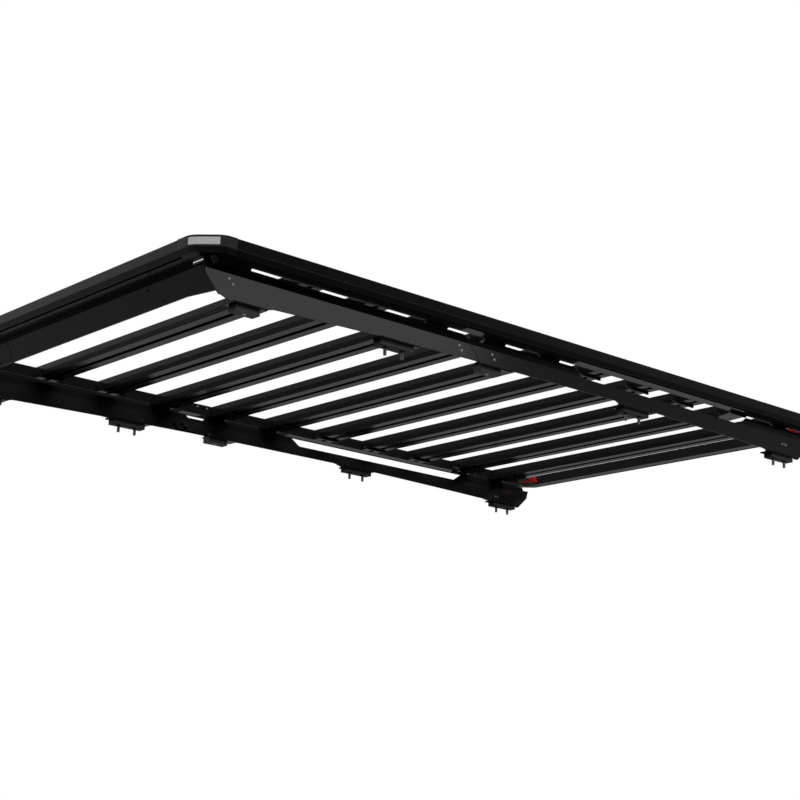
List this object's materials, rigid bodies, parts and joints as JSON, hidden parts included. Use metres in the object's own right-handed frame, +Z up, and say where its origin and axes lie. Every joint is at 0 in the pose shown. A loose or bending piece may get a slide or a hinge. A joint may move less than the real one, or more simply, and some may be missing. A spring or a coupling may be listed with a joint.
{
  "type": "flat platform roof rack",
  "caption": "Flat platform roof rack: slotted cross slats in a cornered perimeter frame, wind deflector, folded foot rails with studded feet.",
  "frame": {"origin": "centre of the tray in plan, on the plane of the lowest stud tips", "axes": "-X to the front of the vehicle, +Y to its right side, +Z up"},
  "size_m": [2.35, 1.296, 0.1574],
  "materials": {
    "tray_black": "satin powder coat",
    "slat_black": "satin powder coat",
    "sheet_black": "semi-gloss powder coat",
    "pad_rubber": "matt",
    "bare_plate": "satin",
    "tab_red": "gloss"
  },
  "bodies": {
    "root": {"front_profile": "tray_black", "rear_profile": "tray_black", "left_side_profile": "tray_black", "right_side_profile": "tray_black", "front_left_corner": "tray_black", "front_right_corner": "tray_black", "rear_left_corner": "tray_black", "rear_right_corner": "tray_black", "corner_plate": "bare_plate", "wind_deflector_left": "sheet_black", "wind_deflector_right": "sheet_black", "deflector_brackets": "sheet_black", "corner_tabs": "tab_red", "slat_01": "slat_black", "slat_02": "slat_black", "slat_03": "slat_black", "slat_04": "slat_black", "slat_05": "slat_black", "slat_06": "slat_black", "slat_07": "slat_black", "slat_08": "slat_black", "slat_09": "slat_black", "slat_10": "slat_black", "slat_11": "slat_black", "left_rail_front": "sheet_black", "left_rail_rear": "sheet_black", "left_rail_splice": "sheet_black", "left_slat_brackets": "sheet_black", "left_slat_clips": "sheet_black", "left_foot_plates": "sheet_black", "left_foot_pad_1": "pad_rubber", "left_foot_pad_2": "pad_rubber", "left_foot_pad_3": "pad_rubber", "left_foot_pad_4": "pad_rubber", "left_foot_pad_5": "pad_rubber", "right_rail_front": "sheet_black", "right_rail_rear": "sheet_black", "right_rail_splice": "sheet_black", "right_slat_brackets": "sheet_black", "right_slat_clips": "sheet_black", "right_foot_plates": "sheet_black", "right_foot_pad_1": "pad_rubber", "right_foot_pad_2": "pad_rubber", "right_foot_pad_3": "pad_rubber", "right_foot_pad_4": "pad_rubber", "right_foot_pad_5": "pad_rubber"}
  },
  "joints": []
}
